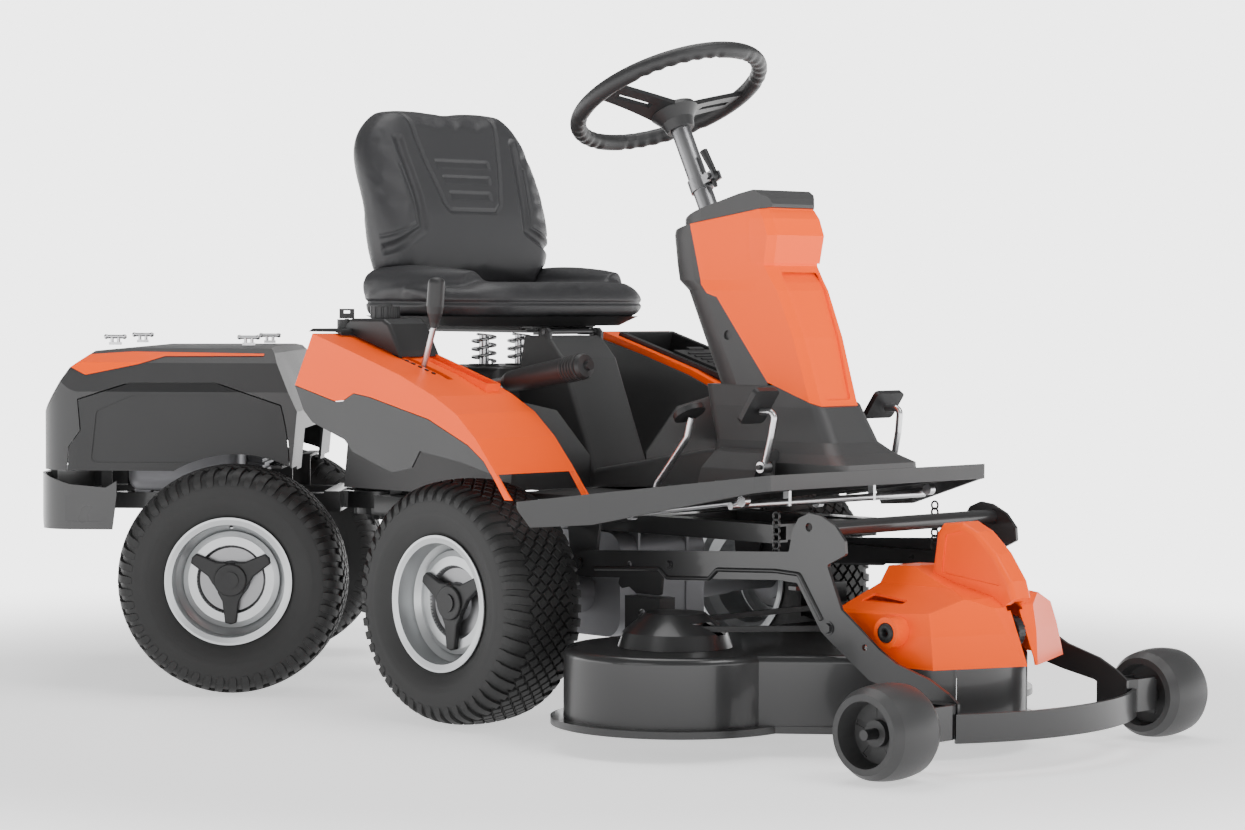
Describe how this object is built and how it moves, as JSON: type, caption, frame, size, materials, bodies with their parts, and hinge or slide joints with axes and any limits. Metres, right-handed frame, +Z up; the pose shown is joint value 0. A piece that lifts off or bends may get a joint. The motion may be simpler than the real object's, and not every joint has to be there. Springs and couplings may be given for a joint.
{
  "type": "riding lawn mower",
  "caption": "Articulated riding lawn mower with a front cutting deck, padded seat, sloping steering column and rear engine under a tipping hood.",
  "frame": {"origin": "on the ground, at the middle of the machine's footprint", "axes": "+X forward along the front half, towards the cutting deck; +Y to the driver's left; +Z up; the rear half stands turned on its pivot"},
  "size_m": [2.2533, 1.0948, 1.1461],
  "materials": {
    "orange_gloss": "glossy",
    "grey_plastic": "satin, lightly grained",
    "black_plastic": "matte",
    "black_paint": "semi-gloss",
    "silver_paint": "satin",
    "steel": "satin",
    "cast_metal": "as cast",
    "tyre": "matte",
    "grip_rubber": "matte",
    "seat_vinyl": "satin grained vinyl",
    "plated": "satin plated"
  },
  "bodies": {
    "front_frame": {"chassis_frame": "black_paint", "front_transaxle": "cast_metal", "footplate": "grey_plastic", "console_base": "grey_plastic", "side_panels": "grey_plastic", "tower_back_cover": "grey_plastic", "tower_front_cover": "orange_gloss", "dash_cap": "grey_plastic", "right_fender": "orange_gloss", "left_fender": "orange_gloss", "mudguards": "grey_plastic", "control_panel": "black_plastic", "seat_support": "grey_plastic", "seat_springs": "steel", "storage_tray": "black_plastic", "linkage": "steel"},
    "rear_half": {"rear_frame": "black_paint", "rear_axle": "cast_metal", "engine": "cast_metal", "rear_side_panels": "black_plastic", "rear_bumper": "black_paint"},
    "rear_hood": {"hood": "grey_plastic", "hood_inserts": "orange_gloss", "hood_cleats": "plated"},
    "wheel_front_left": {"front_left_tyre": "tyre", "front_left_rim": "silver_paint"},
    "wheel_front_right": {"front_right_tyre": "tyre", "front_right_rim": "silver_paint"},
    "wheel_rear_left": {"rear_left_tyre": "tyre", "rear_left_rim": "silver_paint"},
    "wheel_rear_right": {"rear_right_tyre": "tyre", "rear_right_rim": "silver_paint"},
    "column": {"column_tube": "steel"},
    "steering_wheel": {"steering_rim": "grip_rubber", "steering_hub": "black_plastic"},
    "column_lock": {"column_lock_lever": "black_plastic"},
    "seat_mount": {"seat_bracket": "black_paint"},
    "seat": {"seat_pan": "black_plastic", "seat_cushion": "seat_vinyl", "seat_backrest": "seat_vinyl"},
    "throttle": {"throttle_lever": "steel"},
    "dial": {"throttle_dial": "black_plastic"},
    "key": {"ignition_key": "black_plastic"},
    "lid": {"tray_lid": "black_plastic"},
    "lift": {"lift_lever": "steel", "lift_grip": "grip_rubber"},
    "release_button": {"lift_button": "black_plastic"},
    "deck": {"deck_frame": "black_paint", "deck_shell": "black_paint", "deck_cover": "orange_gloss", "drive_belt": "grip_rubber"},
    "rotor_left": {"blade_left": "steel"},
    "rotor_centre": {"blade_centre": "steel"},
    "rotor_right": {"blade_right": "steel"},
    "scalp_left": {"anti_scalp_wheel_left": "grey_plastic"},
    "scalp_right": {"anti_scalp_wheel_right": "grey_plastic"},
    "adjuster": {"height_adjuster": "black_plastic"},
    "pedal_forward": {"forward_pedal": "steel"},
    "pedal_reverse": {"reverse_pedal": "steel"},
    "pedal_brake": {"brake_pedal": "steel"}
  },
  "joints": [
    {"name": "articulation", "type": "hinge", "parent": "front_frame", "child": "rear_half", "pos_m": [-0.52174, 0.04845, 0.333], "axis": [0, 0, 1], "range_deg": [-88.8, 1.2]},
    {"name": "hood_hinge", "type": "hinge", "parent": "rear_half", "child": "rear_hood", "pos_m": [-0.94469, -0.35715, 0.4], "axis": [0.6921, -0.7218, 0], "range_deg": [0, 60]},
    {"name": "front_left_wheel_spin", "type": "hinge", "parent": "front_frame", "child": "wheel_front_left", "pos_m": [0.13026, 0.41145, 0.20585], "axis": [0, 1, 0], "continuous": true},
    {"name": "front_right_wheel_spin", "type": "hinge", "parent": "front_frame", "child": "wheel_front_right", "pos_m": [0.13026, -0.31455, 0.20585], "axis": [0, 1, 0], "continuous": true},
    {"name": "rear_left_wheel_spin", "type": "hinge", "parent": "rear_half", "child": "wheel_rear_left", "pos_m": [-0.90799, 0.11171, 0.20585], "axis": [-0.6921, 0.7218, 0], "continuous": true},
    {"name": "rear_right_wheel_spin", "type": "hinge", "parent": "rear_half", "child": "wheel_rear_right", "pos_m": [-0.47471, -0.34012, 0.20585], "axis": [-0.6921, 0.7218, 0], "continuous": true},
    {"name": "column_height", "type": "slide", "parent": "front_frame", "child": "column", "axis": [-0.4462, 0, 0.8949], "range_m": [-0.015, 0.03]},
    {"name": "steering", "type": "hinge", "parent": "column", "child": "steering_wheel", "pos_m": [0.31126, 0.04845, 0.908], "axis": [-0.4462, 0, 0.8949], "range_deg": [-12, 888]},
    {"name": "column_lock_turn", "type": "hinge", "parent": "column", "child": "column_lock", "pos_m": [0.34079, 0.04845, 0.92049], "axis": [0, 1, 0], "range_deg": [0, 25]},
    {"name": "seat_tip", "type": "hinge", "parent": "front_frame", "child": "seat_mount", "pos_m": [-0.00474, 0.04845, 0.653], "axis": [0, 1, 0], "range_deg": [0, 35]},
    {"name": "seat_slide", "type": "slide", "parent": "seat_mount", "child": "seat", "axis": [1, 0, 0], "range_m": [-0.03, 0.04]},
    {"name": "throttle_lever_pivot", "type": "hinge", "parent": "front_frame", "child": "throttle", "pos_m": [-0.01174, -0.29655, 0.556], "axis": [0, 1, 0], "range_deg": [-12, 12]},
    {"name": "choke_dial_turn", "type": "hinge", "parent": "front_frame", "child": "dial", "pos_m": [-0.13574, -0.27355, 0.677], "axis": [0, 0, 1], "range_deg": [0, 120]},
    {"name": "key_turn", "type": "hinge", "parent": "front_frame", "child": "key", "pos_m": [-0.21974, -0.28955, 0.67], "axis": [0, 0, 1], "range_deg": [0, 90]},
    {"name": "tray_lid_hinge", "type": "hinge", "parent": "front_frame", "child": "lid", "pos_m": [0.09193, 0.39845, 0.58044], "axis": [0, 1, 0], "range_deg": [0, 90]},
    {"name": "deck_lift", "type": "hinge", "parent": "front_frame", "child": "deck", "pos_m": [0.24026, 0.04845, 0.268], "axis": [0, -1, 0], "range_deg": [0, 4]},
    {"name": "lift_lever_pivot", "type": "hinge", "parent": "front_frame", "child": "lift", "pos_m": [-0.13174, -0.18355, 0.532], "axis": [0, -1, 0], "range_deg": [0, 20]},
    {"name": "release_button_press", "type": "slide", "parent": "lift", "child": "release_button", "axis": [0.9867, 0, 0.1626], "range_m": [-0.004, 0], "stiffness_N_per_m": 600, "springref_m": 0.002},
    {"name": "blade_centre_spin", "type": "hinge", "parent": "deck", "child": "rotor_centre", "pos_m": [0.79526, 0.04845, 0.1], "axis": [0, 0, 1], "continuous": true},
    {"name": "blade_left_spin", "type": "hinge", "parent": "deck", "child": "rotor_left", "pos_m": [0.54826, 0.34845, 0.1], "axis": [0, 0, 1], "continuous": true},
    {"name": "blade_right_spin", "type": "hinge", "parent": "deck", "child": "rotor_right", "pos_m": [0.54826, -0.25155, 0.1], "axis": [0, 0, 1], "continuous": true},
    {"name": "anti_scalp_left_spin", "type": "hinge", "parent": "deck", "child": "scalp_left", "pos_m": [1.02426, 0.39045, 0.075], "axis": [0, 1, 0], "continuous": true},
    {"name": "anti_scalp_right_spin", "type": "hinge", "parent": "deck", "child": "scalp_right", "pos_m": [1.02426, -0.29355, 0.075], "axis": [0, 1, 0], "continuous": true},
    {"name": "height_adjuster_turn", "type": "hinge", "parent": "deck", "child": "adjuster", "pos_m": [0.98426, 0.04845, 0.196], "axis": [0, 1, 0], "range_deg": [0, 270]},
    {"name": "forward_pedal_pivot", "type": "hinge", "parent": "front_frame", "child": "pedal_forward", "pos_m": [0.60026, -0.10155, 0.442], "axis": [0, 1, 0], "range_deg": [0, 15], "stiffness_Nm_per_rad": 6, "springref_deg": -5.73},
    {"name": "brake_pedal_pivot", "type": "hinge", "parent": "front_frame", "child": "pedal_brake", "pos_m": [0.60026, 0.22045, 0.442], "axis": [0, 1, 0], "range_deg": [0, 15], "stiffness_Nm_per_rad": 8, "springref_deg": -5.73},
    {"name": "reverse_pedal_pivot", "type": "hinge", "parent": "front_frame", "child": "pedal_reverse", "pos_m": [0.38226, -0.13755, 0.366], "axis": [0, 1, 0], "range_deg": [0, 12], "stiffness_Nm_per_rad": 6, "springref_deg": -6.88}
  ],
  "couplings": [
    {"joint": "steering", "follows": "articulation", "ratio": -10},
    {"joint": "lift_lever_pivot", "follows": "deck_lift", "ratio": 5},
    {"joint": "blade_left_spin", "follows": "blade_centre_spin", "ratio": 1},
    {"joint": "blade_right_spin", "follows": "blade_centre_spin", "ratio": 1}
  ]
}
